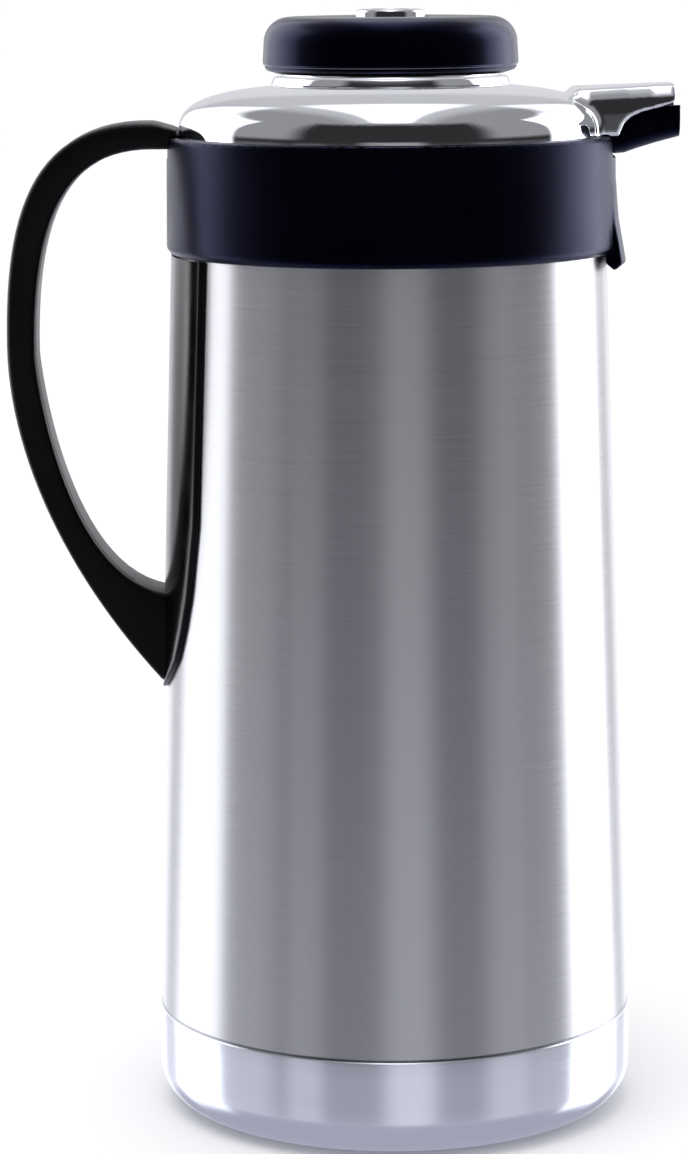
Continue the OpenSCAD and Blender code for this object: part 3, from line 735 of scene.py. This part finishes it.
# The dome shows the studio rather than the stopper and the neck that stand on it
STOPPER_BODIES = "stopper", "button", "seal_ring", "plug_ring"
hidden = [frame["nodes"]["neck_insert"], bpy.data.objects["chrome_neck_ring"]]
bodies = frame["record"]["behaviour"]["bodies"]
hidden += [frame["nodes"][name] for body in STOPPER_BODIES for name in bodies[body]]
hidden += [obj for obj in bpy.data.objects if obj.get("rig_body") in STOPPER_BODIES]
for obj in hidden:
    obj.visible_glossy = False


# ---- studio ---------------------------------------------------------------------------------

# What the steel reflects. Azimuths are in degrees from the camera's side, positive towards the
# spout. A panel is (azimuth, half width, softness, brightness).
BASE_LEVEL = 0.14
LOW_PANELS = [
    (7, 12, 12, 0.45), (-45, 9, 7, 0.28), (56, 11, 10, 0.29), (-79, 17, 16, 0.27), (82, 13, 12, 0.17)]
SIDE_PANELS = [(-115.5, 20.5, 5, 1.5), (115.5, 20, 5, 2.2)]
BACK_GAP_PANELS = [(-145, 9, 4, 0.45), (145, 9, 4, 0.45)]
BACK_LEVEL = 1.1
REAR_SIDE_LEVEL = 1.0
FRONT_DARK = 0.03
CEILING_LEVEL = 0.29
CEILING_GLOW = 0.27
HORIZON_GLOW = 0.16
BOX_LEVEL = 1.3
FLOOR_GLOW = 0.56
FLOOR_TINT = (0.83, 0.84, 1.0)
SKY_TINT = (0.95, 0.96, 1.0)
BACKDROP = 1.1


class Maths:
    """Builds maths nodes in one node tree; every argument is a socket or a number."""

    def __init__(self, tree):
        self.nodes, self.links = tree.nodes, tree.links

    def do(self, operation, *values):
        node = self.nodes.new("ShaderNodeMath")
        node.operation = operation
        for i, value in enumerate(values):
            if isinstance(value, (int, float)):
                node.inputs[i].default_value = value
            else:
                self.links.new(value, node.inputs[i])
        return node.outputs[0]

    def product(self, *values):
        total = values[0]
        for value in values[1:]:
            total = self.do("MULTIPLY", total, value)
        return total

    def total(self, *values):
        result = values[0]
        for value in values[1:]:
            result = self.do("ADD", result, value)
        return result

    def rise(self, value, start, end):
        """0 below start and 1 above end, smoothly."""
        node = self.nodes.new("ShaderNodeMapRange")
        node.interpolation_type = "SMOOTHSTEP"
        node.inputs["From Min"].default_value = start
        node.inputs["From Max"].default_value = end
        self.links.new(value, node.inputs["Value"])
        return node.outputs["Result"]

    def fall(self, value, start, end):
        """1 below start and 0 above end, smoothly."""
        return self.do("SUBTRACT", 1.0, self.rise(value, start, end))

    def panel(self, value, centre, half, soft, bright=1.0):
        """A soft-edged band of brightness about a centre."""
        away = self.do("ABSOLUTE", self.do("SUBTRACT", value, float(centre)))
        return self.do("MULTIPLY", self.fall(away, half - soft / 2, half + soft / 2), bright)

    def mix(self, factor, first, second, blend="MIX"):
        """Mixes two colours, each a socket or a colour."""
        node = self.nodes.new("ShaderNodeMix")
        node.data_type = "RGBA"
        node.blend_type = blend
        for name, value in (("Factor", factor), ("A", first), ("B", second)):
            if isinstance(value, tuple):
                node.inputs[name].default_value = (*value, 1)
            elif isinstance(value, float):
                node.inputs[name].default_value = value
            else:
                self.links.new(value, node.inputs[name])
        return node.outputs["Result"]


def studio():
    """White side panels, a dark camera side, a pale back, and a soft box above and behind the object."""
    world = bpy.data.worlds.new("studio")
    bpy.context.scene.world = world
    world.use_nodes = True
    m = Maths(world.node_tree)
    place = m.nodes.new("ShaderNodeTexCoord")
    split = m.nodes.new("ShaderNodeSeparateXYZ")
    m.links.new(place.outputs["Generated"], split.inputs[0])
    x, y, z = split.outputs
    azimuth = m.do("DEGREES", m.do("ARCTAN2", x, m.do("MULTIPLY", y, -1.0)))
    turn = m.do("ABSOLUTE", azimuth)
    height = m.do("DEGREES", m.do("ARCSINE", z))
    # Angle over the top, from the back's horizon to the camera's
    arch = m.do("DEGREES", m.do("ARCTAN2", z, y))
    below = m.product(m.fall(height, -6, 0), m.rise(height, -30, -18))
    above = m.rise(height, -6, 0)
    side_reach = m.product(m.fall(height, 38, 46), m.rise(height, -40, -24))
    lower = m.total(BASE_LEVEL, *[m.panel(azimuth, *p) for p in LOW_PANELS + BACK_GAP_PANELS],
                    m.panel(turn, 180, 26, 8, BACK_LEVEL))
    ceiling = m.product(m.do("MAXIMUM", m.rise(turn, 45, 62), m.rise(height, 42, 58)),
                        m.do("MAXIMUM", m.rise(turn, 92, 100), m.rise(height, 0, 5)), CEILING_LEVEL)
    ceiling_glow = m.product(m.panel(x, 0, 0.27, 0.2, CEILING_GLOW), m.fall(arch, 116, 128))
    horizon_glow = m.product(m.panel(x, 0, 0.27, 0.2, HORIZON_GLOW), m.panel(arch, 7, 10.5, 7))
    rear_sides = m.product(m.panel(turn, 149.5, 13.5, 5, REAR_SIDE_LEVEL), m.fall(height, 38, 46))
    upper = m.total(FRONT_DARK, ceiling, ceiling_glow, horizon_glow, rear_sides)
    sides = m.product(m.total(*[m.panel(azimuth, *p) for p in SIDE_PANELS]), side_reach)
    box = m.product(m.panel(x, 0, 0.14, 0.07), m.rise(arch, 38, 46), m.fall(arch, 114, 124), BOX_LEVEL)
    level = m.total(m.product(lower, below), m.product(upper, above), sides, box)
    floor = m.product(m.fall(height, -24, -6), FLOOR_GLOW)
    sky = m.mix(1.0, level, SKY_TINT, "MULTIPLY")
    glow = m.mix(1.0, floor, FLOOR_TINT, "MULTIPLY")
    lit = m.mix(1.0, sky, glow, "ADD")
    seen = m.nodes.new("ShaderNodeLightPath")
    plain = m.do("MAXIMUM", seen.outputs["Is Camera Ray"], seen.outputs["Is Diffuse Ray"])
    m.links.new(m.mix(plain, lit, (BACKDROP,) * 3), m.nodes["Background"].inputs["Color"])


def area_light(name, place, target, size, power):
    """A soft box aimed at a point."""
    data = bpy.data.lights.new(name, "AREA")
    data.shape = "DISK"
    data.size = size
    data.energy = power
    lamp = bpy.data.objects.new(name, data)
    way = (np.array(target) - np.array(place))
    lamp.location = place
    lamp.rotation_mode = "QUATERNION"
    lamp.rotation_quaternion = Vector(way).to_track_quat("-Z", "Y")
    lamp.visible_glossy = False
    bpy.context.scene.collection.objects.link(lamp)


def pale_floor():
    """A wide pale floor that the object stands on; the steel reflects the studio in its place."""
    size = 60
    mesh = bpy.data.meshes.new("floor")
    corners = [(-size, -size, 0), (size, -size, 0), (size, size, 0), (-size, size, 0)]
    mesh.from_pydata(corners, [], [(0, 1, 2, 3)])
    floor = bpy.data.objects.new("floor", mesh)
    bpy.context.scene.collection.objects.link(floor)
    material, nodes, links, shader = new_material(
        "floor_paper", (0.90, 0.90, 0.91), 0.0, 0.9, Specular_IOR_Level=0.1)
    cloud = grain(nodes, links, (6, 6, 6))
    links.new(tint(nodes, links, cloud, (0.895, 0.895, 0.905), (0.905, 0.905, 0.915)),
              shader.inputs["Base Color"])
    mesh.materials.append(material)
    floor.visible_glossy = False


CAMERA_BACK = 0.951
CAMERA_HEIGHT = 0.3039 - DATUM[2] * MM
CAMERA_SIDE = -0.0127
CAMERA_PITCH = 9.645
CAMERA_ROLL = 0.37
CAMERA_LENS = 115.4


def camera():
    """Long lens a metre away, a little above the collar and looking slightly down."""
    data = bpy.data.cameras.new("camera")
    data.sensor_width = 36
    data.lens = CAMERA_LENS
    cam = bpy.data.objects.new("camera", data)
    bpy.context.scene.collection.objects.link(cam)
    tilt = Matrix.Rotation(math.radians(90 - CAMERA_PITCH), 4, "X")
    roll = Matrix.Rotation(math.radians(-CAMERA_ROLL), 4, "Z")
    cam.matrix_world = Matrix.Translation((CAMERA_SIDE, -CAMERA_BACK, CAMERA_HEIGHT)) @ (tilt @ roll)
    bpy.context.scene.camera = cam


studio()
pale_floor()
area_light("overhead", (-0.3, -0.5, 1.5), (0, 0, 0.1), 1.2, 7)
camera()
bpy.context.scene.view_settings.view_transform = "Standard"
